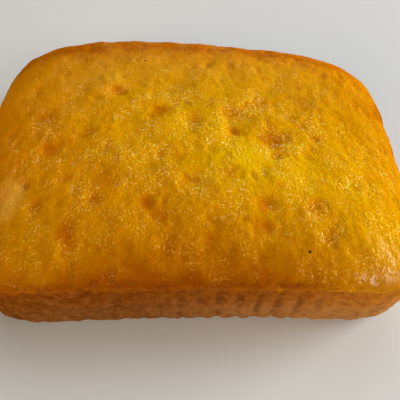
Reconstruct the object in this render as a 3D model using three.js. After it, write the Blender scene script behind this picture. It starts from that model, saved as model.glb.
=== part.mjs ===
// A lemon cake: one low oblong sponge with a crowned, dimpled crust and a side that kept the pleats
// of its baking case. Millimetres, +Z up. The origin is the middle of the footprint, on the surface
// that the cake rests on. +X is along the length, and the front is the long side towards -Y.
import * as THREE from 'three';

// Overall sizes
const LENGTH = 97;
const WIDTH = 78;
const RIM_HEIGHT = 18.2; // where the crust meets the side, at the middle of a side
const CROWN_RISE = 8.6; // from the rim to the top of the crust
const HALF_LENGTH = LENGTH / 2;
const HALF_WIDTH = WIDTH / 2;

// Plan outline: each corner is a superellipse, and a higher power makes a squarer corner
const CORNER_POWER = { backRight: 4.1, backLeft: 4.8, frontLeft: 6.3, frontRight: 8.4 };
const BASE_SQUARENESS = 1.17; // the powers at the base over those at the rim
const CROWN_POWER = 2.3; // the power that the outlines come down to at the middle of the crown
const BASE_INSET = 0.95; // how far the base stands in from the rim
const BACK_SLANT = 0.093; // the back edge runs in towards +X by this share of the half width
const FRONT_WAIST = 1.7; // how far the front bows in
const BACK_WAIST = 0.25; // and the back
const WAIST_REACH = 0.75 * HALF_LENGTH; // from the middle to where the bow ends
const WAIST_POWER = 4; // how soon the bow fades towards the middle of the crown
const CORNER_DROP = 0.9; // how much lower the rim is at the corners

// Crown profile: rise = CROWN_RISE * (1 - scale^SHOULDER)^(1 / FULLNESS), from 1 at the rim to 0
const SHOULDER = 3.2;
const FULLNESS = 1.6;

// Side: the pleats, the lip of crust above them, and the rounded lower edge
const PLEAT_COUNT = 77;
const PLEAT_DEPTH = 0.65;
const PLEAT_STRETCHES = 3; // round the cake, the pleats stand out in this many stretches
const STRONG_PLEATS = 0.82; // the way round to the middle of one of them
const FAINT_PLEAT_SHARE = 0.3; // depth left between the stretches
const CORNER_PLEAT_SHARE = 0.25; // depth left at the corners
const CORNER_START = 0.1; // the corner share where the pleats start to fade
const CORNER_FULL = 0.4; // and where they are down to their share
const LIP_OVERHANG = 0.5; // how far the crust stands out over the side
const LIP_WAVES = [
  { count: 5, height: 0.6, start: 0.06 },
  { count: 31, height: 0.15, start: 0 },
]; // round the cake, each from the way round to one of its highest places
const LOWER_EDGE_RADIUS = 1.5;
const LOWER_EDGE_STEPS = 2;
const CORNER_SOFTENING = 2.2; // how much larger that radius is at the corners

// Rings on the side: share of the way from the lower edge to the rim, inset, and share of the pleats' depth
const LOWER_EDGE_PLEATS = 0.5;
const SIDE_LEVELS = [
  { share: 0.45, inset: 0, pleats: 1 },
  { share: 0.85, inset: LIP_OVERHANG, pleats: 0.7 },
  { share: 1, inset: 0, pleats: 0.2 },
];

// Dimples of the crust, from left to right, with the depth of each at its middle
const DIMPLE_SHARPNESS = 2; // how soon a dimple fades within its radius
const DIMPLE_STEEPNESS = 1.3; // a higher value gives a flatter floor and steeper walls
const DIMPLES = [
  { x: -34.7, y: -17.0, radius: 2.0, depth: 0.8 },
  { x: -33.6, y: 1.8, radius: 4.0, depth: 0.5 },
  { x: -31.2, y: -22.4, radius: 2.1, depth: 0.8 },
  { x: -30.3, y: -7.5, radius: 3.2, depth: 0.7 },
  { x: -26.7, y: -16.3, radius: 2.0, depth: 0.4 },
  { x: -24.6, y: -28.3, radius: 3.4, depth: 0.9 },
  { x: -24.0, y: -31.3, radius: 2.4, depth: 0.7 },
  { x: -23.4, y: -3.8, radius: 2.4, depth: 0.4 },
  { x: -19.4, y: -21.7, radius: 2.2, depth: 0.5 },
  { x: -17.8, y: -16.9, radius: 4.5, depth: 0.4 },
  { x: -17.6, y: 10.3, radius: 2.8, depth: 0.6 },
  { x: -9.4, y: -22.4, radius: 2.6, depth: 0.8 },
  { x: -7.8, y: 2.8, radius: 2.8, depth: 0.7 },
  { x: -7.5, y: -25.2, radius: 2.2, depth: 0.6 },
  { x: -5.3, y: -30.9, radius: 2.6, depth: 0.7 },
  { x: -0.8, y: -16.7, radius: 2.3, depth: 0.5 },
  { x: 0.4, y: -0.6, radius: 3.0, depth: 0.5 },
  { x: 3.3, y: -29.9, radius: 2.4, depth: 0.6 },
  { x: 4.1, y: 20.5, radius: 2.0, depth: 0.4 },
  { x: 8.0, y: -15.6, radius: 3.2, depth: 0.4 },
  { x: 9.0, y: -3.6, radius: 2.2, depth: 0.8 },
  { x: 9.3, y: 2.1, radius: 3.2, depth: 0.5 },
  { x: 13.9, y: -27.5, radius: 2.3, depth: 0.7 },
  { x: 14.9, y: -22.8, radius: 2.3, depth: 0.6 },
  { x: 15.5, y: 6.0, radius: 3.0, depth: 0.4 },
  { x: 17.3, y: -6.0, radius: 4.2, depth: 0.8 },
  { x: 17.8, y: -10.7, radius: 2.0, depth: 0.6 },
  { x: 20.7, y: 31.4, radius: 1.8, depth: 1.0 },
  { x: 24.5, y: -23.5, radius: 3.2, depth: 0.7 },
  { x: 25.9, y: 6.9, radius: 4.0, depth: 0.4 },
  { x: 26.2, y: -30.0, radius: 2.5, depth: 0.6 },
  { x: 27.1, y: -5.5, radius: 2.0, depth: 0.5 },
  { x: 42.5, y: 6.3, radius: 2.0, depth: 0.5 },
];

// Low swells of the crust: plane waves in directions turned by the golden angle, growing shorter
const SWELL_COUNT = 7;
const SWELL_HEIGHT = 0.1;
const LONGEST_SWELL = 26;
const SWELL_SHORTENING = 0.82;
const GOLDEN_ANGLE = Math.PI * (3 - Math.sqrt(5));

// Mesh fineness
const POINTS_PER_PLEAT = 4;
const CROWN_SPACING = 1.5;
const CROWN_RINGS = 28;
const CROWN_CROWDING = 1.4; // how much closer together the crown's rings are towards the rim
const FEWEST_POINTS = 6; // on the crown's smallest ring

const CRUST = new THREE.MeshStandardMaterial({ color: 0xc07a10, roughness: 0.45, metalness: 0 });

/** Power of the corner that a direction points to. */
function cornerPower(along, across) {
  if (across >= 0) {
    return along >= 0 ? CORNER_POWER.backRight : CORNER_POWER.backLeft;
  }
  return along >= 0 ? CORNER_POWER.frontRight : CORNER_POWER.frontLeft;
}

/** Plan outline of the cake, once round from +X towards +Y. */
class PlanOutline extends THREE.Curve {
  constructor(halfLength, halfWidth, powerAt) {
    super();
    this.halfLength = halfLength;
    this.halfWidth = halfWidth;
    this.powerAt = powerAt;
  }

  getPoint(turn, target = new THREE.Vector3()) {
    const angle = turn * 2 * Math.PI;
    const along = Math.cos(angle);
    const across = Math.sin(angle);
    const power = this.powerAt(cornerPower(along, across));
    const sum = Math.abs(along / this.halfLength) ** power + Math.abs(across / this.halfWidth) ** power;
    const radius = sum ** (-1 / power);
    const x = radius * along;
    const slant = across > 0 ? 1 - BACK_SLANT * (x / HALF_LENGTH) : 1;
    const sideShare = Math.abs(radius * across / HALF_WIDTH) ** WAIST_POWER;
    const bow = Math.max(0, 1 - (x / WAIST_REACH) ** 2) * sideShare;
    const waist = across > 0 ? -BACK_WAIST : FRONT_WAIST;
    const y = radius * across * slant + waist * bow;
    return target.set(x, y, 0);
  }
}

const rimOutline = new PlanOutline(HALF_LENGTH, HALF_WIDTH, (power) => power);

/** 0 at the middle of a side, towards 1 at a corner. */
function cornerShare(point) {
  return (point.x / HALF_LENGTH * point.y / HALF_WIDTH) ** 2;
}

/** Height of the rim at a point of its outline. */
function rimHeight(point, round) {
  let height = RIM_HEIGHT - CORNER_DROP * cornerShare(point);
  for (const wave of LIP_WAVES) {
    height += wave.height * Math.cos(2 * Math.PI * wave.count * (round - wave.start));
  }
  return height;
}

/** Depth of the pleats at a point round the side. */
function pleatDepth(point, round) {
  const wave = 0.5 - 0.5 * Math.cos(2 * Math.PI * PLEAT_COUNT * round);
  const stretch = 0.5 + 0.5 * Math.cos(2 * Math.PI * PLEAT_STRETCHES * (round - STRONG_PLEATS));
  const corner = THREE.MathUtils.smoothstep(cornerShare(point), CORNER_START, CORNER_FULL);
  const faded = THREE.MathUtils.lerp(FAINT_PLEAT_SHARE, 1, stretch);
  return PLEAT_DEPTH * wave * faded * THREE.MathUtils.lerp(1, CORNER_PLEAT_SHARE, corner);
}

/** Relief of the crust, from its dimples and low swells. */
function crustRelief(x, y) {
  let height = 0;
  for (const { x: middleX, y: middleY, radius, depth } of DIMPLES) {
    const away = ((x - middleX) ** 2 + (y - middleY) ** 2) / radius ** 2;
    height -= depth * Math.exp(-((DIMPLE_SHARPNESS * away) ** DIMPLE_STEEPNESS));
  }
  for (let swell = 0; swell < SWELL_COUNT; swell++) {
    const direction = swell * GOLDEN_ANGLE;
    const length = LONGEST_SWELL * SWELL_SHORTENING ** swell;
    const path = x * Math.cos(direction) + y * Math.sin(direction);
    height += SWELL_HEIGHT * Math.sin(2 * Math.PI * path / length + swell);
  }
  return height;
}

/** The levels of the side's rings, from the base to the rim. */
function sideLevels() {
  const levels = [];
  for (let step = 0; step <= LOWER_EDGE_STEPS; step++) {
    const turn = (step / LOWER_EDGE_STEPS) * (Math.PI / 2);
    levels.push({ share: 0, inset: 0, pleats: LOWER_EDGE_PLEATS, turn });
  }
  for (const level of SIDE_LEVELS) {
    levels.push({ ...level, turn: Math.PI / 2 });
  }
  return levels;
}

/** A ring of points on the side. turn runs from 0 to a right angle over the lower edge. */
function sideRing({ share, inset, pleats, turn }) {
  const narrowing = BASE_INSET * (1 - share);
  const squareness = THREE.MathUtils.lerp(BASE_SQUARENESS, 1, share);
  const outline = new PlanOutline(
    HALF_LENGTH - narrowing,
    HALF_WIDTH - narrowing,
    (power) => power * squareness,
  );
  const ring = [];
  const count = PLEAT_COUNT * POINTS_PER_PLEAT;
  for (let step = 0; step < count; step++) {
    const round = step / count;
    const place = rimOutline.getUtoTmapping(round);
    const point = outline.getPoint(place);
    const tangent = outline.getTangent(place);
    const edgeRadius = LOWER_EDGE_RADIUS * (1 + CORNER_SOFTENING * cornerShare(point));
    const inwards = inset + edgeRadius * (1 - Math.sin(turn)) + pleats * pleatDepth(point, round);
    const edgeHeight = edgeRadius * (1 - Math.cos(turn));
    const height = THREE.MathUtils.lerp(edgeHeight, rimHeight(point, round), share);
    ring.push(new THREE.Vector3(point.x - tangent.y * inwards, point.y + tangent.x * inwards, height));
  }
  return ring;
}

/** A ring of points on the crown, where scale runs from 1 at the rim to 0 at the middle. */
function crownRing(scale) {
  const outline = new PlanOutline(
    HALF_LENGTH * scale,
    HALF_WIDTH * scale,
    (power) => THREE.MathUtils.lerp(CROWN_POWER, power, scale ** 2),
  );
  const rise = (1 - scale ** SHOULDER) ** (1 / FULLNESS);
  const ring = [];
  const count = Math.max(FEWEST_POINTS, Math.round(outline.getLength() / CROWN_SPACING));
  for (let step = 0; step < count; step++) {
    const round = step / count;
    const turn = rimOutline.getUtoTmapping(round);
    const point = outline.getPoint(turn);
    const rim = rimHeight(rimOutline.getPoint(turn), round);
    const height = THREE.MathUtils.lerp(rim, RIM_HEIGHT + CROWN_RISE, rise);
    ring.push(new THREE.Vector3(point.x, point.y, height + rise * crustRelief(point.x, point.y)));
  }
  return ring;
}

/** Adds the triangles between two rings, each of which may have any number of points. */
function stitch(lower, upper, lowerStart, upperStart, triangles) {
  let low = 0;
  let high = 0;
  const lowSteps = lower.length > 1 ? lower.length : 0;
  const highSteps = upper.length > 1 ? upper.length : 0;
  while (low < lowSteps || high < highSteps) {
    const lowPoint = lowerStart + low % lower.length;
    const highPoint = upperStart + high % upper.length;
    const stepLow = high === highSteps || (low < lowSteps && (low + 1) / lowSteps <= (high + 1) / highSteps);
    if (stepLow) {
      low += 1;
      triangles.push(lowPoint, lowerStart + low % lower.length, highPoint);
    } else {
      high += 1;
      triangles.push(lowPoint, upperStart + high % upper.length, highPoint);
    }
  }
}

/** The closed surface through a stack of rings, from the middle of the base to the top of the crown. */
function stackedRings(rings) {
  const triangles = [];
  let start = 0;
  for (let level = 0; level + 1 < rings.length; level++) {
    const next = start + rings[level].length;
    stitch(rings[level], rings[level + 1], start, next, triangles);
    start = next;
  }
  const geometry = new THREE.BufferGeometry().setFromPoints(rings.flat());
  geometry.setIndex(triangles);
  return geometry;
}

/** The cake, with the middle of its footprint at the origin. */
function cakeGeometry() {
  const rings = [[new THREE.Vector3(0, 0, 0)], ...sideLevels().map(sideRing)];
  for (let ring = 1; ring < CROWN_RINGS; ring++) {
    rings.push(crownRing(1 - (ring / CROWN_RINGS) ** CROWN_CROWDING));
  }
  rings.push([new THREE.Vector3(0, 0, RIM_HEIGHT + CROWN_RISE + crustRelief(0, 0))]);
  const geometry = stackedRings(rings);
  geometry.computeBoundingBox();
  const middle = geometry.boundingBox.getCenter(new THREE.Vector3());
  geometry.translate(-middle.x, -middle.y, 0);
  geometry.computeVertexNormals();
  return geometry;
}

const cake = new THREE.Mesh(cakeGeometry(), CRUST);
cake.name = 'cake';

const lemonCake = new THREE.Group();
lemonCake.add(cake);

export default lemonCake;
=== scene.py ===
"""Looks of the lemon cake: one oblong sponge with a dimpled golden crust and a pleated brown side."""
import math

import bpy
import numpy as np
from mathutils import Matrix, Vector, noise


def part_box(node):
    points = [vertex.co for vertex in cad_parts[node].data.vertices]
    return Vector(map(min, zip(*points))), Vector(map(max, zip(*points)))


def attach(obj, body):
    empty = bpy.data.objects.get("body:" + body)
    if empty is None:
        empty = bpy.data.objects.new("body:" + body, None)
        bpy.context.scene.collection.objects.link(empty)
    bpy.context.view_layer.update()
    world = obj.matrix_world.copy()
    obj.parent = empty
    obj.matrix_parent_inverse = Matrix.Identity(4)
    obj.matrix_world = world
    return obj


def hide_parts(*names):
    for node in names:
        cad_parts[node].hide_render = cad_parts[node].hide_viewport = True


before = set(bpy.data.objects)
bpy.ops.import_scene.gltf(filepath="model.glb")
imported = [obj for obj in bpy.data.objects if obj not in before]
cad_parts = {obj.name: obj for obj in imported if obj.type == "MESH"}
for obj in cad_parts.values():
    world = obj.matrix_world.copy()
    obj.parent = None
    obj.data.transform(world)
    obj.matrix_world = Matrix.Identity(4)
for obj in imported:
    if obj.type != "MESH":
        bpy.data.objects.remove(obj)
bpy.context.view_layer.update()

MM = 0.001

# Form in millimetres, as the solid has it: the front is towards -Y and the right towards +X
LENGTH = 97.0
WIDTH = 78.0
HALF_LENGTH = LENGTH / 2
HALF_WIDTH = WIDTH / 2
RIM_HEIGHT = 18.2  # where the crust meets the side, at the middle of a side
CROWN_RISE = 8.6  # from the rim to the top of the crust

# Plan outline: each corner is a superellipse, and a higher power makes a squarer corner
CORNER_POWERS = {"back_right": 4.1, "back_left": 4.8, "front_left": 6.3, "front_right": 8.4}
BASE_SQUARENESS = 1.17  # the powers at the base over those at the rim
CROWN_POWER = 2.3  # the power that the outlines come down to at the middle of the crown
BASE_INSET = 0.95  # how far the base stands in from the rim
BACK_SLANT = 0.093  # the back edge runs in towards +X by this share of the half width
FRONT_WAIST = 1.7  # how far the front bows in
BACK_WAIST = 0.25  # and the back
WAIST_REACH = 0.75 * HALF_LENGTH  # from the middle to where the bow ends
WAIST_POWER = 4  # how soon the bow fades towards the middle of the crown
CORNER_DROP = 0.9  # how much lower the rim is at the corners

# Crown profile: rise = (1 - scale^SHOULDER)^(1 / FULLNESS), with scale from 1 at the rim to 0
SHOULDER = 3.2
FULLNESS = 1.6

# Side: the pleats, the lip of crust above them, and the rounded lower edge
PLEAT_COUNT = 77
PLEAT_DEPTH = 0.65
PLEAT_STRETCHES = 3  # round the cake, the pleats stand out in this many stretches
STRONG_PLEATS = 0.82  # the way round to the middle of one of them
FAINT_PLEAT_SHARE = 0.3  # depth left between the stretches
CORNER_PLEAT_SHARE = 0.25  # depth left at the corners
CORNER_START = 0.1  # the corner share where the pleats start to fade
CORNER_FULL = 0.4  # and where they are down to their share
WAVE_SHARE = 0.6  # a pleat is part wave, and the rest of it is a narrow groove
GROOVE_WIDTH = 0.2  # of that groove, over the spacing of the pleats
LIP_OVERHANG = 0.5  # how far the crust stands out over the side
LIP_WAVES = ((5, 0.6, 0.06), (31, 0.15, 0.0))  # count, height, and the way round to a highest place
LOWER_EDGE_RADIUS = 1.5
CORNER_SOFTENING = 2.2  # how much larger that radius is at the corners

# Up the side, from the lower edge to the rim: shares of the way, of the pleats' depth and of the overhang
SIDE_SHARES = (0.0, 0.45, 0.85, 1.0)
PLEAT_SHARES = (0.5, 1.0, 0.7, 0.2)
OVERHANG_SHARES = (0.0, 0.0, 1.0, 0.0)

# Unevenness of the side. A noise is given by its size in millimetres and its seed
PLEAT_WANDER = 0.18  # how far a pleat strays, over the spacing of the pleats
PLEAT_WANDER_NOISE = (6.0, 3)
PLEAT_WANDER_SQUEEZE = (1, 1, 0.4)  # heights are squeezed, so the noise is stretched up the side
PLEAT_UNEVENNESS = 0.35  # how far the depth of the pleats varies
PLEAT_UNEVEN_NOISE = (9.0, 5)
PLEAT_UNEVEN_SQUEEZE = (1, 1, 0.3)
PLEAT_NOISE_HEIGHT = 18.0  # of the side, in these two noises
LIP_RAGGEDNESS = 0.5  # ups and downs of the lip at the front
SMOOTH_LIP_RAGGEDNESS = 0.12  # and further back
LIP_SMOOTHING = (-0.9, -0.3)  # where the one turns into the other, over the half width
LIP_NOISE = (2.2, 31)
LIP_FADE = (0.0, 0.35)  # where they fade up the crown, over its rise

# Dimples of the crust, from left to right: x, y, radius, depth
DIMPLE_SHARPNESS = 2  # how soon a dimple fades within its radius
DIMPLE_STEEPNESS = 1.3  # a higher value gives a flatter floor and steeper walls
DIMPLES = (
    (-34.7, -17.0, 2.0, 0.8),
    (-33.6, 1.8, 4.0, 0.5),
    (-31.2, -22.4, 2.1, 0.8),
    (-30.3, -7.5, 3.2, 0.7),
    (-26.7, -16.3, 2.0, 0.4),
    (-24.6, -28.3, 3.4, 0.9),
    (-24.0, -31.3, 2.4, 0.7),
    (-23.4, -3.8, 2.4, 0.4),
    (-19.4, -21.7, 2.2, 0.5),
    (-17.8, -16.9, 4.5, 0.4),
    (-17.6, 10.3, 2.8, 0.6),
    (-9.4, -22.4, 2.6, 0.8),
    (-7.8, 2.8, 2.8, 0.7),
    (-7.5, -25.2, 2.2, 0.6),
    (-5.3, -30.9, 2.6, 0.7),
    (-0.8, -16.7, 2.3, 0.5),
    (0.4, -0.6, 3.0, 0.5),
    (3.3, -29.9, 2.4, 0.6),
    (4.1, 20.5, 2.0, 0.4),
    (8.0, -15.6, 3.2, 0.4),
    (9.0, -3.6, 2.2, 0.8),
    (9.3, 2.1, 3.2, 0.5),
    (13.9, -27.5, 2.3, 0.7),
    (14.9, -22.8, 2.3, 0.6),
    (15.5, 6.0, 3.0, 0.4),
    (17.3, -6.0, 4.2, 0.8),
    (17.8, -10.7, 2.0, 0.6),
    (20.7, 31.4, 1.8, 1.0),
    (24.5, -23.5, 3.2, 0.7),
    (25.9, 6.9, 4.0, 0.4),
    (26.2, -30.0, 2.5, 0.6),
    (27.1, -5.5, 2.0, 0.5),
    (42.5, 6.3, 2.0, 0.5),
)
DIMPLE_WARP = 0.7  # how far their outlines stray
DIMPLE_WARP_NOISES = ((3.0, 7), (3.0, 9))

# Low swells of the crust: plane waves in directions turned by the golden angle, growing shorter
SWELL_COUNT = 7
SWELL_HEIGHT = 0.1
LONGEST_SWELL = 26.0
SWELL_SHORTENING = 0.82
GOLDEN_ANGLE = math.pi * (3 - math.sqrt(5))

# Finer relief. Bumps are layers of noise: size, height and seed
CRUST_BUMPS = ((3.6, 0.11, 40), (1.9, 0.12, 41), (1.0, 0.10, 42))
SIDE_BUMPS = ((3.0, 0.25, 50), (1.4, 0.18, 51), (0.8, 0.10, 52))
CALMEST_BUMPS = 0.6  # height left where no grains show
VALLEY_SHARE = 1.6  # how far the low places between the bumps are coloured as hollows, in painted shade
CRUST_END = (0.0, 0.08)  # where the crust's relief turns into the side's, by the mask below_lip
BASE_FADE = (0.05, 0.8)  # heights over which the relief comes in above the base

# Small pits of the crust, most of them small
PIT_COUNT = 1000
PIT_RADII = (0.45, 1.6)
PIT_SMALLNESS = 2  # a higher power makes more of them small
PIT_STRETCHES = (1.0, 1.8)
PIT_DEPTH = 0.21  # over the radius
PIT_DEPTH_SHARES = (0.4, 1.0)
PIT_SHARPNESS = 1.4
PIT_STEEPNESS = 1.5
PIT_REACH = 1.6  # where a pit has faded, over its radius
PIT_WARPS = ((3.0, 0.7, 20, 25), (1.2, 0.35, 21, 26))  # size, reach, and seeds for x and y
PIT_SEED = 11
PITS_IN_DIMPLES = (0.1, 0.4)  # depths of a dimple over which the pits fade

# Browning of the crust, from about 0 where it is palest to 1 at the rim. Ranges of y are over the half width
BAKE_IN_MIDDLE = 0.20
BAKE_BY_X = -0.03  # added at the right end, and taken off at the left
SIDE_BAKE_AND_LIGHT_BY_X = -0.26  # the same again, on the side only, where its paler right end is partly painted light
SIDE_BAKE_START = (0.0, 0.1)  # by the mask below_lip
BAKE_AT_BACK = 0.27
BAKED_BACK = (0.35, 0.95)
BAKE_AT_FRONT = 0.01
BAKED_FRONT = (0.4, 0.95)
BAKE_PATCHES = ((11.0, 0.04, 60), (3.2, 0.06, 61))  # size, strength and seed
PALE_PLACES = (
    (-37.0, -21.0, 5.0, 0.25),
    (-39.0, 13.0, 16.0, 0.27),
    (-35.0, -9.0, 11.0, 0.14),
    (-31.0, -31.0, 10.0, 0.18),
    (9.0, -15.0, 9.0, 0.46),
    (26.0, -22.0, 9.0, 0.16),
    (28.0, -16.0, 14.0, 0.35),
    (40.0, -35.0, 11.0, 0.46),
)  # x, y, radius and strength

# Where the crust is grainy, amber, oily or marked. Ranges are over the half width or the half length
RIM_ZONE = (0.80, 0.96)  # from the middle of the crown, over the way to the rim
SMOOTH_RIM_SHARE = 0.85  # how far the rim is without grains at the back and at the left
SMOOTH_RIM_BACK = (-0.5, 0.3)
SMOOTH_RIM_LEFT = (0.6, 0.9)
SMOOTH_BACK_SHARE = 0.45  # how far the back of the crust is without grains
SMOOTH_BACK = (0.0, 0.6)
AMBER_LEFT = (0.2, 0.9)
AMBER_LEFT_FROM_FRONT = (-0.9, -0.3)
AMBER_BACK = (0.2, 0.9)
AMBER_BACK_SHARE = 0.85
DRY_SHARE = 0.95  # how far the slope to the right is without oil
DRY_RIGHT = (0.62, 0.78)
BACK_SHEEN = 0.07
SHEEN_BACK = (-0.1, 0.5)
SHEEN_END = (0.70, 0.90)  # from the middle of the crown, over the way to the rim
GLOSSY_PLACE = (35.4, -37.8, 4.0)  # x, y and radius
RAW_PLACES = ((-37.2, -19.5, 3.6), (-37.6, -24.0, 2.4))  # where the crust is rubbed pale, in the same way
SPECKS = ((22.1, -33.4), (-11.9, 21.3))  # x and y
SPECK_RADIUS = 0.3
CROWN_ABOVE_LIP = 3.0  # the mask below_lip is 1 at the base, 0 at the rim and minus this at the top

# Mesh fineness, and samples that outlines and profiles are measured by
CROWN_SPACING = 0.36
SIDE_SPACING = 0.42
SIDE_RING_SPACING = 0.55
LOWER_EDGE_STEPS = 4
FEWEST_POINTS = 6
RIM_SAMPLES = 4001
RING_SAMPLES = 400
PROFILE_SAMPLES = 2001
NOISE_SHIFT = (17.3, 5.7, 11.1)  # how far apart the noises of two seeds are

# Noises of the materials: size in millimetres, detail, roughness and distortion
BLOTCH_NOISE = (5.0, 2.0, 0.5, 0.0)
GRAIN_NOISE = (0.55, 2.0, 0.6, 0.25)
MOTTLE_NOISE = (1.6, 3.0, 0.5, 0.0)
CRUMB_NOISE = (1.5, 4.0, 0.65, 0.5)
LIP_EDGE_NOISE = (1.8, 4.0, 0.6, 0.8)
FLOOR_NOISE = (60.0, 2.0, 0.5, 0.0)

# Colours in 0 to 255. The stops of the crust are places on its way from palest to fully baked
GOLD_STOPS = (
    (0.00, (218, 170, 1)),
    (0.30, (206, 149, 1)),
    (0.60, (198, 138, 1)),
    (0.80, (188, 125, 1)),
    (0.93, (170, 103, 1)),
    (1.00, (146, 76, 2)),
)
# pale grains: partly the crust's own paler grains, partly painted glints
PALE_GRAIN_GLINT_STOPS = (
    (0.00, (246, 212, 84)),
    (0.60, (232, 186, 60)),
    (1.00, (200, 140, 36)),
)
AMBER = (228, 122, 2)
# painted shade: the dimples, pits and low places between the bumps are darker orange
HOLLOW_SHADE_ORANGE = (176, 80, 0)
# between the grains: partly the grain's own tone, partly painted shade in the low places of the grain's bumps
GAP_SHADE_ORANGE = (184, 98, 0)
RAW_YELLOW = (220, 174, 76)
SPECK_BLACK = (30, 14, 6)
# darker crust on the ridge just above the lip: partly browning, partly painted shade
BAKED_LIP_AND_SHADE = (128, 58, 6)
RED_CRUMB = ((176, 108, 32), (109, 56, 9))  # least and most baked
# tan towards the foot: partly the crumb's colour, partly painted bounce light from the floor
TAN_CRUMB_AND_BOUNCE = ((161, 109, 58), (99, 52, 9))
DARK_CRUMB = (84, 40, 10)
PALE_CRUMB = (172, 118, 66)
# painted shade: darker brown in the grooves of the pleats
GROOVE_SHADE_BROWN = (88, 44, 12)
# red-brown under the lip: partly the crumb's colour, partly painted shade in pockets under the overhang
UNDER_LIP_BROWNS_AND_SHADE = ((150, 78, 12), (100, 42, 6))
FLOOR_GREYS = ((203, 205, 205), (207, 209, 209))

# Ranges of the sponge's masks and noises, from low to high, with the shares of a colour or the values at
# either end. Those with no values run from 0 to 1
GRAIN_PATCHES = (0.42, 0.60, 0.10, 1.35)
GLINTING_GRAIN_RANGE = (0.51, 0.70)
GRAIN_GAP_SHADE = (0.30, 0.46, 0.16, 0.0)
HOLLOW_SHADE_TINT = (0.03, 0.70, 0.0, 0.60)
RAW_TINT = (0.1, 1.0, 0.0, 0.3)
SPECK_TINT = (0.15, 0.6)
BAKED_LIP_SHADE_REACH = (-0.10, -0.01, 0.0, 0.45)
BAKED_LIP_SHADE_BAKE = (0.78, 0.96)
RED_CRUMB_BAKE = (0.50, 1.25)
TAN_CRUMB_AND_BOUNCE_BAKE = (0.75, 1.25)
TAN_FOOT_AND_BOUNCE_REACH = (0.25, 0.85)
DARK_CRUMB_TINT = (0.36, 0.50, 0.40, 0.0)
PALE_CRUMB_TINT = (0.50, 0.66, 0.0, 0.27)
GROOVE_SHADE_TINT = (0.15, 0.8, 0.0, 0.6)
GROOVE_SHADE_PATCHES = (0.38, 0.60, 0.15, 1.0)
LIP_EDGE_SHIFT = (0.3, 0.7, -0.14, 0.14)
UNDER_LIP_SHADE_MOTTLE = (0.40, 0.60)
UNDER_LIP_SHADE_REACH = (0.10, 0.42, 0.45, 0.0)
CRISP_LIP_BAKE = (0.55, 0.85)
CRISP_LIP = (-0.06, 0.14)
SOFT_LIP = (-0.20, 0.22)
FILM_IN_HOLLOWS = (0.03, 0.15, 0.5, 1.0)
FILM_END = (-0.15, 0.02, 1.0, 0.0)
GRAIN_ROUGHNESS = (0.3, 0.7, 0.7, 0.5)

# Strengths of the sponge's looks, heights of its grains in millimetres, and settings of both shaders
AMBER_SHARE = 0.32
PALE_GRAIN_GLINT_SHARE = 0.6
GLOSS = 0.9
GRAIN_HEIGHT = 0.34
FILM_GRAIN_HEIGHT = 0.10
SPONGE_SETTINGS = {
    "Coat Roughness": 0.18,
    "Coat Tint": (1.0, 0.96, 0.88, 1.0),
    "Subsurface Weight": 0.7,
    "Subsurface Radius": (1.0, 0.45, 0.1),
    "Subsurface Scale": 1.4 * MM,
    "Specular IOR Level": 0.0,
}
FLOOR_SETTINGS = {"Roughness": 0.5, "Specular IOR Level": 0.2}

# Camera, in millimetres and degrees
CAMERA_TARGET = (1.8, -13.28, 12.8)
CAMERA_DISTANCE = 105.28
CAMERA_ELEVATION = 53.3
CAMERA_YAW = 2.8
CAMERA_ROLL = 2.08
CAMERA_FIELD = 48.0
CAMERA_CLIP_START = 5.0

# Stage, in metres. Soft lights: name, azimuth from +X and elevation in degrees, diameter, watts and colour
FLOOR_REACH = 2.0
LIGHT_DISTANCE = 1.3
LIGHTS = (
    ("right", 11.5, 18, 0.8, 25.2, (0.98, 1.0, 1.0)),
    ("back", 90, 45, 1.8, 7.9, (0.96, 0.98, 1.0)),
    ("front_left", 235, 20, 0.8, 9.6, (1.0, 0.77, 0.50)),
    ("front_right", -44, 29, 0.45, 5.8, (1.0, 0.98, 0.95)),
)
ROOM_LIGHT = 0.08
ROOM_COLOUR = (1.0, 0.78, 0.55, 1.0)


def lerp(start, end, share):
    return start + (end - start) * share


def smoothstep(value, low, high):
    share = np.clip((value - low) / (high - low), 0, 1)
    return share * share * (3 - 2 * share)


def noise_at(points, size, seed):
    """Smooth noise of about -1 to 1 at points in millimetres, with bumps of about the given size."""
    shift = Vector([step * seed for step in NOISE_SHIFT])
    return np.array([noise.noise(Vector(point) / size + shift) for point in points])


def layered_noise(points, layers):
    """The sum of layers of noise, each with a size, a height and a seed."""
    return sum(height * noise_at(points, size, seed) for size, height, seed in layers)


def on_floor(plan):
    """Points of a plan with a height of 0."""
    return np.column_stack([plan, np.zeros(len(plan))])


# Form of the cake

def plan_outline(turn, half_length, half_width, power_share=1.0, crown_share=1.0):
    """Points of a plan outline, once round from +X towards +Y."""
    along = np.cos(2 * math.pi * turn)
    across = np.sin(2 * math.pi * turn)
    back = np.where(along >= 0, CORNER_POWERS["back_right"], CORNER_POWERS["back_left"])
    front = np.where(along >= 0, CORNER_POWERS["front_right"], CORNER_POWERS["front_left"])
    power = lerp(CROWN_POWER, np.where(across >= 0, back, front) * power_share, crown_share)
    total = np.abs(along / half_length) ** power + np.abs(across / half_width) ** power
    radius = total ** (-1 / power)
    x = radius * along
    slant = np.where(across > 0, 1 - BACK_SLANT * x / HALF_LENGTH, 1)
    side_share = np.abs(radius * across / HALF_WIDTH) ** WAIST_POWER
    bow = np.maximum(0, 1 - (x / WAIST_REACH) ** 2) * side_share
    waist = np.where(across > 0, -BACK_WAIST, FRONT_WAIST)
    return np.stack([x, radius * across * slant + waist * bow], axis=1)


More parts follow.
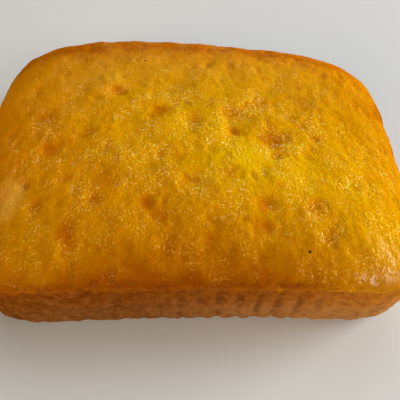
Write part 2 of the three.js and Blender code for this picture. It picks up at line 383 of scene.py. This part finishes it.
def even_turns(count):
    """Turns that space points evenly along the rim."""
    turns = np.linspace(0, 1, RIM_SAMPLES)
    steps = np.linalg.norm(np.diff(plan_outline(turns, HALF_LENGTH, HALF_WIDTH), axis=0), axis=1)
    length = np.concatenate([[0], np.cumsum(steps)])
    return np.interp(np.arange(count) / count, length / length[-1], turns)


def corner_share(plan):
    """0 at the middle of a side, towards 1 at a corner."""
    return (plan[:, 0] / HALF_LENGTH * plan[:, 1] / HALF_WIDTH) ** 2


def rim_height(plan, around):
    """Height of the rim at points of its outline, where around runs from 0 to 1 once round."""
    height = RIM_HEIGHT - CORNER_DROP * corner_share(plan)
    for count, rise, first in LIP_WAVES:
        height += rise * np.cos(2 * math.pi * count * (around - first))
    return height


def ragged_lip(plan):
    """Small ups and downs of the lip of crust."""
    smoothness = smoothstep(plan[:, 1] / HALF_WIDTH, *LIP_SMOOTHING)
    raggedness = lerp(LIP_RAGGEDNESS, SMOOTH_LIP_RAGGEDNESS, smoothness)
    return raggedness * noise_at(on_floor(plan), *LIP_NOISE)


def pleat_grooves(plan, around, share):
    """How deep the side lies in its pleats, from 0 on a ridge to 1 in a groove."""
    points = np.column_stack([plan, np.full(len(plan), PLEAT_NOISE_HEIGHT * share)])
    wander = PLEAT_WANDER * noise_at(points * PLEAT_WANDER_SQUEEZE, *PLEAT_WANDER_NOISE)
    phase = PLEAT_COUNT * around + wander
    wave = 0.5 - 0.5 * np.cos(2 * math.pi * phase)
    narrow = np.exp(-((phase % 1 - 0.5) / GROOVE_WIDTH) ** 2)
    stretch = 0.5 + 0.5 * np.cos(2 * math.pi * PLEAT_STRETCHES * (around - STRONG_PLEATS))
    corner = smoothstep(corner_share(plan), CORNER_START, CORNER_FULL)
    uneven = 1 + PLEAT_UNEVENNESS * noise_at(points * PLEAT_UNEVEN_SQUEEZE, *PLEAT_UNEVEN_NOISE)
    depth = lerp(FAINT_PLEAT_SHARE, 1, stretch) * uneven * lerp(1, CORNER_PLEAT_SHARE, corner)
    return (WAVE_SHARE * wave + (1 - WAVE_SHARE) * narrow) * depth


def crust_relief(plan):
    """Relief of the crust from its dimples and swells, and how far each point lies in a dimple."""
    flat = on_floor(plan)
    warp = np.stack([noise_at(flat, *warp_noise) for warp_noise in DIMPLE_WARP_NOISES], axis=1)
    warped = plan + warp * DIMPLE_WARP
    dimples = np.zeros(len(plan))
    for x, y, radius, depth in DIMPLES:
        away = ((warped[:, 0] - x) ** 2 + (warped[:, 1] - y) ** 2) / radius ** 2
        dimples += depth * np.exp(-(DIMPLE_SHARPNESS * away) ** DIMPLE_STEEPNESS)
    swells = np.zeros(len(plan))
    for swell in range(SWELL_COUNT):
        direction = swell * GOLDEN_ANGLE
        length = LONGEST_SWELL * SWELL_SHORTENING ** swell
        path = plan[:, 0] * math.cos(direction) + plan[:, 1] * math.sin(direction)
        swells += SWELL_HEIGHT * np.sin(2 * math.pi * path / length + swell)
    return swells - dimples, dimples


def side_ring(share, turn):
    """A ring of points on the side, with its masks. turn runs to a right angle over the lower edge."""
    count = round(2 * (LENGTH + WIDTH) / SIDE_SPACING)
    around = np.arange(count) / count
    narrowing = BASE_INSET * (1 - share)
    squareness = lerp(BASE_SQUARENESS, 1, share)
    plan = plan_outline(even_turns(count), HALF_LENGTH - narrowing, HALF_WIDTH - narrowing, squareness)
    tangent = np.roll(plan, -1, axis=0) - np.roll(plan, 1, axis=0)
    tangent /= np.linalg.norm(tangent, axis=1)[:, None]
    inwards = np.stack([-tangent[:, 1], tangent[:, 0]], axis=1)
    grooves = pleat_grooves(plan, around, share) * np.interp(share, SIDE_SHARES, PLEAT_SHARES)
    under_lip = LIP_OVERHANG * np.interp(share, SIDE_SHARES, OVERHANG_SHARES)
    edge_radius = LOWER_EDGE_RADIUS * (1 + CORNER_SOFTENING * corner_share(plan))
    depth = under_lip + edge_radius * (1 - math.sin(turn)) + PLEAT_DEPTH * grooves
    rim = rim_height(plan, around) + ragged_lip(plan)
    height = lerp(edge_radius * (1 - math.cos(turn)), rim, share)
    masks = {
        "edge": np.ones(count),
        "hollow": np.zeros(count),
        "groove": grooves,
        "below_lip": np.full(count, 1 - share),
    }
    return np.column_stack([plan + inwards * depth[:, None], height]), masks


def crown_ring(scale):
    """A ring of points on the crown, with its masks. scale runs from 1 at the rim to 0 at the middle."""
    half_sizes = (HALF_LENGTH * scale, HALF_WIDTH * scale)
    coarse = plan_outline(even_turns(RING_SAMPLES), *half_sizes, 1, scale ** 2)
    length = np.linalg.norm(coarse - np.roll(coarse, 1, axis=0), axis=1).sum()
    count = max(FEWEST_POINTS, round(length / CROWN_SPACING))
    turns = even_turns(count)
    around = np.arange(count) / count
    plan = plan_outline(turns, *half_sizes, 1, scale ** 2)
    outer = plan_outline(turns, HALF_LENGTH, HALF_WIDTH)
    rim = rim_height(outer, around)
    rise = (1 - scale ** SHOULDER) ** (1 / FULLNESS)
    relief, dimples = crust_relief(plan)
    ragged = (1 - smoothstep(rise, *LIP_FADE)) * ragged_lip(outer)
    height = lerp(rim, RIM_HEIGHT + CROWN_RISE, rise) + ragged + rise * relief
    masks = {
        "edge": np.full(count, scale),
        "hollow": dimples * rise,
        "groove": np.zeros(count),
        "below_lip": np.full(count, CROWN_ABOVE_LIP * (scale - 1)),
    }
    return np.column_stack([plan, height]), masks


def crown_scales():
    """Scales of the crown's rings, evenly spaced along its profile, from the rim to the middle."""
    scale = np.linspace(1, 0, PROFILE_SAMPLES)
    rise = (1 - scale ** SHOULDER) ** (1 / FULLNESS)
    profile = np.stack([HALF_WIDTH * scale, CROWN_RISE * rise], axis=1)
    length = np.concatenate([[0], np.cumsum(np.linalg.norm(np.diff(profile, axis=0), axis=1))])
    even = np.linspace(0, length[-1], round(length[-1] / CROWN_SPACING) + 1)
    return np.interp(even, length, scale)[1:-1]


def side_levels():
    """Shares of the way up and turns over the lower edge of the side's rings, from the base to the rim."""
    steps = round((RIM_HEIGHT - LOWER_EDGE_RADIUS) / SIDE_RING_SPACING)
    lower_edge = [(0.0, turn) for turn in np.linspace(0, math.pi / 2, LOWER_EDGE_STEPS + 1)]
    return lower_edge + [(share, math.pi / 2) for share in np.linspace(0, 1, steps + 1)[1:]]


def stitch(lower_start, lower_count, upper_start, upper_count):
    """Triangles between two rings, each of which may have any number of points."""
    triangles = []
    low = high = 0
    low_steps = lower_count if lower_count > 1 else 0
    high_steps = upper_count if upper_count > 1 else 0
    while low < low_steps or high < high_steps:
        low_point = lower_start + low % lower_count
        high_point = upper_start + high % upper_count
        if high == high_steps or (low < low_steps and (low + 1) * high_steps <= (high + 1) * low_steps):
            low += 1
            triangles.append((low_point, lower_start + low % lower_count, high_point))
        else:
            high += 1
            triangles.append((low_point, upper_start + high % upper_count, high_point))
    return triangles


def vertex_normals(points, triangles):
    corners = points[triangles]
    faces = np.cross(corners[:, 1] - corners[:, 0], corners[:, 2] - corners[:, 0])
    normals = np.zeros_like(points)
    for corner in range(3):
        np.add.at(normals, triangles[:, corner], faces)
    return normals / np.linalg.norm(normals, axis=1)[:, None]


def pits(points):
    """Depth of the small irregular pits of the crust."""
    random = np.random.default_rng(PIT_SEED)
    warped = points[:, :2].copy()
    for size, reach, x_seed, y_seed in PIT_WARPS:
        warped += reach * np.stack([noise_at(points, size, x_seed), noise_at(points, size, y_seed)], axis=1)
    depth = np.zeros(len(points))
    for _ in range(PIT_COUNT):
        middle = random.uniform((-HALF_LENGTH, -HALF_WIDTH), (HALF_LENGTH, HALF_WIDTH))
        radius = lerp(*PIT_RADII, random.uniform() ** PIT_SMALLNESS)
        reach = np.array([radius, radius * random.uniform(*PIT_STRETCHES)])
        deep = PIT_DEPTH * radius * random.uniform(*PIT_DEPTH_SHARES)
        near = np.flatnonzero((np.abs(warped - middle) < PIT_REACH * reach).all(axis=1))
        away = (((warped[near] - middle) / reach) ** 2).sum(axis=1)
        pit = deep * np.exp(-(PIT_SHARPNESS * away) ** PIT_STEEPNESS)
        depth[near] = np.maximum(depth[near], pit)
    return depth


def cake_surface():
    """Points, triangles and masks of the closed surface of the cake."""
    rings = [side_ring(share, turn) for share, turn in side_levels()]
    rings += [crown_ring(scale) for scale in crown_scales()]
    names = rings[0][1].keys()
    bottom = (np.zeros((1, 3)), {name: np.ones(1) for name in names})
    top_relief, top_dimple = crust_relief(np.zeros((1, 2)))
    top_point = np.array([[0, 0, RIM_HEIGHT + CROWN_RISE + top_relief[0]]])
    top_masks = {
        "edge": np.zeros(1),
        "hollow": top_dimple,
        "groove": np.zeros(1),
        "below_lip": np.full(1, -CROWN_ABOVE_LIP),
    }
    rings = [bottom, *rings, (top_point, top_masks)]
    triangles = []
    start = 0
    for (lower, _), (upper, _) in zip(rings, rings[1:]):
        triangles += stitch(start, len(lower), start + len(lower), len(upper))
        start += len(lower)
    points = np.concatenate([ring for ring, _ in rings])
    points[:, :2] -= (points[:, :2].max(axis=0) + points[:, :2].min(axis=0)) / 2
    masks = {name: np.concatenate([mask[name] for _, mask in rings]) for name in names}
    return points, np.array(triangles), masks


# Masks of the crust

def around_place(points, x, y, radius):
    """1 at a place of the plan, fading away round it."""
    return np.exp(-((points[:, :2] - (x, y)) ** 2).sum(axis=1) / radius ** 2)


def browning(points, edge, below_lip):
    """How far the crust and the side are baked; the side's paler right end is partly painted light."""
    x = points[:, 0] / HALF_LENGTH
    y = points[:, 1] / HALF_WIDTH
    bake = lerp(BAKE_IN_MIDDLE, 1, edge) + BAKE_BY_X * x
    # the side is paler towards the right end: partly less baked, partly painted light
    bake += SIDE_BAKE_AND_LIGHT_BY_X * x * smoothstep(below_lip, *SIDE_BAKE_START)
    bake += BAKE_AT_BACK * smoothstep(y, *BAKED_BACK)
    bake += BAKE_AT_FRONT * smoothstep(-y, *BAKED_FRONT)
    bake += layered_noise(points, BAKE_PATCHES)
    for place_x, place_y, radius, strength in PALE_PLACES:
        bake -= strength * around_place(points, place_x, place_y, radius)
    return bake


def graininess(points, edge):
    """How far the grains of the crust show: less at the back, and least at the rim there and at the left."""
    y = points[:, 1] / HALF_WIDTH
    back = smoothstep(y, *SMOOTH_RIM_BACK)
    left = smoothstep(-points[:, 0] / HALF_LENGTH, *SMOOTH_RIM_LEFT)
    at_rim = 1 - SMOOTH_RIM_SHARE * np.maximum(back, left) * smoothstep(edge, *RIM_ZONE)
    return at_rim * (1 - SMOOTH_BACK_SHARE * smoothstep(y, *SMOOTH_BACK))


def sheen(points, edge):
    """How far a thin film of oil covers the crust: in one glossy place, and a little all over the back."""
    back = smoothstep(points[:, 1] / HALF_WIDTH, *SHEEN_BACK) * (1 - smoothstep(edge, *SHEEN_END))
    return np.maximum(around_place(points, *GLOSSY_PLACE), BACK_SHEEN * back)


def amberness(points):
    """How far the crust is amber rather than yellow: towards the left, and less so towards the back."""
    y = points[:, 1] / HALF_WIDTH
    left = smoothstep(-points[:, 0] / HALF_LENGTH, *AMBER_LEFT) * smoothstep(y, *AMBER_LEFT_FROM_FRONT)
    return np.maximum(left, AMBER_BACK_SHARE * smoothstep(y, *AMBER_BACK))


def oiliness(points):
    """How far the grains of the crust are oily: hardly on the slope to the right."""
    return 1 - DRY_SHARE * smoothstep(points[:, 0] / HALF_LENGTH, *DRY_RIGHT)


def roughen(points, triangles, masks):
    """Adds the masks of the looks, and returns the points with the finer relief along the normals."""
    normals = vertex_normals(points, triangles)
    on_crust = 1 - smoothstep(masks["below_lip"], *CRUST_END)
    crust = layered_noise(points, CRUST_BUMPS)
    side = layered_noise(points, SIDE_BUMPS)
    masks["grainy"] = graininess(points, masks["edge"])
    calm = lerp(CALMEST_BUMPS, 1, masks["grainy"])
    pit = pits(points) * on_crust * calm * (1 - smoothstep(masks["hollow"], *PITS_IN_DIMPLES))
    lift = lerp(side, crust * calm, on_crust) - pit
    lift *= smoothstep(points[:, 2], *BASE_FADE)
    valley = VALLEY_SHARE * np.maximum(-crust, 0) * on_crust * calm
    masks["hollow"] = masks["hollow"] + pit + valley
    masks["bake"] = browning(points, masks["edge"], masks["below_lip"])
    masks["amber"] = amberness(points)
    masks["oily"] = oiliness(points)
    masks["glossy"] = sheen(points, masks["edge"])
    masks["raw"] = sum(around_place(points, *place) for place in RAW_PLACES)
    masks["speck"] = sum(around_place(points, *place, SPECK_RADIUS) for place in SPECKS)
    return points + normals * lift[:, None]


def make_cake():
    """The cake as one mesh in the middle of the solid's footprint, with its masks as attributes."""
    points, triangles, masks = cake_surface()
    points = roughen(points, triangles, masks)
    low, high = (np.array(corner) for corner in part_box("cake"))
    points = points * MM
    points[:, :2] += (low + high)[:2] / 2
    mesh = bpy.data.meshes.new("sponge")
    mesh.from_pydata(points.tolist(), [], triangles.tolist())
    for name, values in masks.items():
        mesh.attributes.new(name, "FLOAT", "POINT").data.foreach_set("value", values.astype(np.float32))
    mesh.shade_smooth()
    cake = bpy.data.objects.new("sponge", mesh)
    bpy.context.scene.collection.objects.link(cake)
    return cake


# Materials

def linear(channel):
    """A channel of a colour in 0 to 255, as the shader needs it: the sRGB curve taken off."""
    share = channel / 255
    if share <= 0.04045:
        return share / 12.92
    return ((share + 0.055) / 1.055) ** 2.4


def shader_colour(colour):
    return [*map(linear, colour), 1.0]


class Nodes:
    """Short names for the nodes of one material."""

    def __init__(self, name, settings):
        self.material = bpy.data.materials.new(name)
        self.material.use_nodes = True
        self.tree = self.material.node_tree
        self.shader = self.tree.nodes["Principled BSDF"]
        self.coordinates = self.tree.nodes.new("ShaderNodeTexCoord").outputs["Object"]
        for socket, value in settings.items():
            self.shader.inputs[socket].default_value = value

    def put(self, value, socket):
        """Links a socket to a socket, or sets a number or a colour in 0 to 255 on it."""
        if isinstance(value, bpy.types.NodeSocket):
            self.tree.links.new(value, socket)
        elif isinstance(value, tuple):
            socket.default_value = shader_colour(value)
        else:
            socket.default_value = value

    def attribute(self, name):
        node = self.tree.nodes.new("ShaderNodeAttribute")
        node.attribute_name = name
        return node.outputs["Fac"]

    def noise(self, size, detail, roughness, distortion):
        """Noise of about 0 to 1, with bumps of a size in millimetres."""
        mapping = self.tree.nodes.new("ShaderNodeMapping")
        mapping.inputs["Scale"].default_value = [1 / (size * MM)] * 3
        self.put(self.coordinates, mapping.inputs["Vector"])
        node = self.tree.nodes.new("ShaderNodeTexNoise")
        node.inputs["Scale"].default_value = 1.0
        node.inputs["Detail"].default_value = detail
        node.inputs["Roughness"].default_value = roughness
        node.inputs["Distortion"].default_value = distortion
        self.put(mapping.outputs["Vector"], node.inputs["Vector"])
        return node.outputs["Fac"]

    def ramp(self, value, stops):
        """A colour for a value, blended between stops of a place and a colour."""
        node = self.tree.nodes.new("ShaderNodeValToRGB")
        elements = node.color_ramp.elements
        for _ in stops[2:]:
            elements.new(0.5)
        for element, (place, colour) in zip(elements, stops):
            element.position = place
            element.color = shader_colour(colour)
        self.put(value, node.inputs["Fac"])
        return node.outputs["Color"]

    def fit(self, value, low, high, to_low=0.0, to_high=1.0):
        """Maps a range of a value smoothly to another range."""
        node = self.tree.nodes.new("ShaderNodeMapRange")
        node.interpolation_type = "SMOOTHSTEP"
        self.put(value, node.inputs["Value"])
        for socket, number in zip(("From Min", "From Max", "To Min", "To Max"), (low, high, to_low, to_high)):
            node.inputs[socket].default_value = number
        return node.outputs["Result"]

    def math(self, operation, first, second):
        node = self.tree.nodes.new("ShaderNodeMath")
        node.operation = operation
        self.put(first, node.inputs[0])
        self.put(second, node.inputs[1])
        return node.outputs["Value"]

    def mix(self, share, first, second):
        node = self.tree.nodes.new("ShaderNodeMix")
        node.data_type = "RGBA"
        self.put(share, node.inputs["Factor"])
        self.put(first, node.inputs["A"])
        self.put(second, node.inputs["B"])
        return node.outputs["Result"]

    def bump(self, height, distance):
        """A normal for a height from 0 to 1, which stands for a distance in millimetres."""
        node = self.tree.nodes.new("ShaderNodeBump")
        node.inputs["Distance"].default_value = distance * MM
        self.put(height, node.inputs["Height"])
        return node.outputs["Normal"]


def crust_colour(nodes, below_lip, bake, hollow, grain, glinting_grains):
    """Yellow-gold, browner towards the rim, with painted shade as deeper orange in the dimples and partly
    between the grains, and pale grains that are partly painted glints.
    """
    gold = nodes.ramp(bake, GOLD_STOPS)
    pale_glint = nodes.ramp(bake, PALE_GRAIN_GLINT_STOPS)
    gold = nodes.mix(nodes.math("MULTIPLY", nodes.attribute("amber"), AMBER_SHARE), gold, AMBER)
    # painted shade: darker orange in the dimples, pits and low places between the bumps
    gold = nodes.mix(nodes.fit(hollow, *HOLLOW_SHADE_TINT), gold, HOLLOW_SHADE_ORANGE)
    # partly grain tone, partly painted shade: darker orange in the low places of the grain's bumps
    gold = nodes.mix(nodes.fit(grain, *GRAIN_GAP_SHADE), gold, GAP_SHADE_ORANGE)
    # pale grains, partly painted glints
    gold = nodes.mix(nodes.math("MULTIPLY", glinting_grains, PALE_GRAIN_GLINT_SHARE), gold, pale_glint)
    gold = nodes.mix(nodes.fit(nodes.attribute("raw"), *RAW_TINT), gold, RAW_YELLOW)
    gold = nodes.mix(nodes.fit(nodes.attribute("speck"), *SPECK_TINT), gold, SPECK_BLACK)
    # partly browning, partly painted shade on the ridge just above the lip
    at_lip = nodes.fit(below_lip, *BAKED_LIP_SHADE_REACH)
    baked_lip_and_shade = nodes.math("MULTIPLY", at_lip, nodes.fit(bake, *BAKED_LIP_SHADE_BAKE))
    return nodes.mix(baked_lip_and_shade, gold, BAKED_LIP_AND_SHADE)


def side_colour(nodes, below_lip, bake, blotch, ragged):
    """Brown crumb, paler where it is less baked and, at the right end, with painted light; tan towards the
    foot, partly as painted bounce light; darker with painted shade in the grooves and in pockets under the
    lip.
    """
    crumb = nodes.noise(*CRUMB_NOISE)
    red_crumb = nodes.mix(nodes.fit(bake, *RED_CRUMB_BAKE), *RED_CRUMB)
    # partly crumb colour, partly painted bounce light from the floor towards the foot
    tan_crumb_and_bounce = nodes.mix(nodes.fit(bake, *TAN_CRUMB_AND_BOUNCE_BAKE), *TAN_CRUMB_AND_BOUNCE)
    brown = nodes.mix(nodes.fit(below_lip, *TAN_FOOT_AND_BOUNCE_REACH), red_crumb, tan_crumb_and_bounce)
    brown = nodes.mix(nodes.fit(crumb, *DARK_CRUMB_TINT), brown, DARK_CRUMB)
    brown = nodes.mix(nodes.fit(crumb, *PALE_CRUMB_TINT), brown, PALE_CRUMB)
    # painted shade in the grooves of the pleats, stronger in patches
    groove = nodes.fit(nodes.attribute("groove"), *GROOVE_SHADE_TINT)
    groove_shade = nodes.math("MULTIPLY", groove, nodes.fit(blotch, *GROOVE_SHADE_PATCHES))
    brown = nodes.mix(groove_shade, brown, GROOVE_SHADE_BROWN)
    # partly red-brown crumb, partly painted shade in pockets under the overhang
    under_lip_brown_and_shade = nodes.mix(nodes.fit(nodes.noise(*MOTTLE_NOISE), *UNDER_LIP_SHADE_MOTTLE), *UNDER_LIP_BROWNS_AND_SHADE)
    return nodes.mix(nodes.fit(ragged, *UNDER_LIP_SHADE_REACH), brown, under_lip_brown_and_shade)


def lip_edge(nodes, below_lip, bake, ragged):
    """How far the side's colour takes over from the crust's: raggedly, but softly where the lip is pale."""
    crisp = nodes.fit(bake, *CRISP_LIP_BAKE)
    soft = nodes.math("SUBTRACT", 1.0, crisp)
    crisp_edge = nodes.math("MULTIPLY", crisp, nodes.fit(ragged, *CRISP_LIP))
    soft_edge = nodes.math("MULTIPLY", soft, nodes.fit(below_lip, *SOFT_LIP))
    return nodes.math("ADD", crisp_edge, soft_edge)


def oily_film(nodes, below_lip, hollow, glinting_grains):
    """A thin film of oil on the grains of the crust, and where it is glossy."""
    film = nodes.math("MULTIPLY", glinting_grains, nodes.fit(hollow, *FILM_IN_HOLLOWS))
    film = nodes.math("MULTIPLY", film, nodes.attribute("oily"))
    film = nodes.math("MAXIMUM", film, nodes.math("MULTIPLY", nodes.attribute("glossy"), GLOSS))
    return nodes.math("MULTIPLY", film, nodes.fit(below_lip, *FILM_END))


def sponge_material():
    nodes = Nodes("baked_sponge", SPONGE_SETTINGS)
    below_lip = nodes.attribute("below_lip")
    bake = nodes.attribute("bake")
    hollow = nodes.attribute("hollow")
    grainy = nodes.attribute("grainy")
    blotch = nodes.noise(*BLOTCH_NOISE)
    grain = nodes.noise(*GRAIN_NOISE)
    patch = nodes.math("MULTIPLY", nodes.fit(blotch, *GRAIN_PATCHES), grainy)
    # grains that are pale, partly as painted glints, and that carry the oily film
    glinting_grains = nodes.math("MULTIPLY", nodes.fit(grain, *GLINTING_GRAIN_RANGE), patch)
    edge_shift = nodes.fit(nodes.noise(*LIP_EDGE_NOISE), *LIP_EDGE_SHIFT)
    ragged = nodes.math("ADD", below_lip, edge_shift)

    crust = crust_colour(nodes, below_lip, bake, hollow, grain, glinting_grains)
    side = side_colour(nodes, below_lip, bake, blotch, ragged)
    colour = nodes.mix(lip_edge(nodes, below_lip, bake, ragged), crust, side)
    raised = nodes.math("MULTIPLY", grain, grainy)
    nodes.put(colour, nodes.shader.inputs["Base Color"])
    nodes.put(nodes.fit(grain, *GRAIN_ROUGHNESS), nodes.shader.inputs["Roughness"])
    nodes.put(nodes.bump(raised, GRAIN_HEIGHT), nodes.shader.inputs["Normal"])
    nodes.put(oily_film(nodes, below_lip, hollow, glinting_grains), nodes.shader.inputs["Coat Weight"])
    nodes.put(nodes.bump(grain, FILM_GRAIN_HEIGHT), nodes.shader.inputs["Coat Normal"])
    return nodes.material


def floor_material():
    nodes = Nodes("pale_floor", FLOOR_SETTINGS)
    nodes.put(nodes.mix(nodes.noise(*FLOOR_NOISE), *FLOOR_GREYS), nodes.shader.inputs["Base Color"])
    return nodes.material


# Stage

def make_floor():
    mesh = bpy.data.meshes.new("floor")
    corners = [(-1, -1), (1, -1), (1, 1), (-1, 1)]
    mesh.from_pydata([(x * FLOOR_REACH, y * FLOOR_REACH, 0) for x, y in corners], [], [(0, 1, 2, 3)])
    floor = bpy.data.objects.new("floor", mesh)
    bpy.context.scene.collection.objects.link(floor)
    mesh.materials.append(floor_material())
    return floor


def make_camera():
    elevation = math.radians(CAMERA_ELEVATION)
    yaw = math.radians(CAMERA_YAW)
    roll = math.radians(CAMERA_ROLL)
    flat = math.cos(elevation)
    forward = Vector((math.sin(yaw) * flat, math.cos(yaw) * flat, -math.sin(elevation)))
    right = Vector((math.cos(yaw), -math.sin(yaw), 0))
    up = right.cross(forward)
    rolled_right = right * math.cos(roll) + up * math.sin(roll)
    rolled_up = up * math.cos(roll) - right * math.sin(roll)
    axes = Matrix((rolled_right, rolled_up, -forward)).transposed().to_4x4()
    place = Vector(CAMERA_TARGET) - forward * CAMERA_DISTANCE
    data = bpy.data.cameras.new("camera")
    data.angle = math.radians(CAMERA_FIELD)
    data.clip_start = CAMERA_CLIP_START * MM
    camera = bpy.data.objects.new("camera", data)
    camera.matrix_world = Matrix.Translation(place * MM) @ axes
    bpy.context.scene.collection.objects.link(camera)
    bpy.context.scene.camera = camera


def soft_light(name, azimuth, elevation, diameter, watts, colour):
    """A large soft light that faces the cake. Azimuth is in degrees from +X towards +Y."""
    data = bpy.data.lights.new(name, "AREA")
    data.shape = "DISK"
    data.size = diameter
    data.energy = watts
    data.color = colour
    around = math.radians(azimuth)
    rise = math.radians(elevation)
    flat = math.cos(rise)
    towards = Vector((math.cos(around) * flat, math.sin(around) * flat, math.sin(rise)))
    light = bpy.data.objects.new(name, data)
    light.location = towards * LIGHT_DISTANCE
    light.rotation_euler = (-towards).to_track_quat("-Z", "Y").to_euler()
    bpy.context.scene.collection.objects.link(light)


def make_light():
    for light in LIGHTS:
        soft_light(*light)
    world = bpy.data.worlds.new("room")
    world.use_nodes = True
    background = world.node_tree.nodes["Background"]
    background.inputs["Color"].default_value = ROOM_COLOUR
    background.inputs["Strength"].default_value = ROOM_LIGHT
    bpy.context.scene.world = world
    bpy.context.scene.view_settings.view_transform = "Standard"


make_camera()
make_light()
make_floor()

cake = make_cake()
cake.data.materials.append(sponge_material())
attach(cake, "root")
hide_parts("cake")
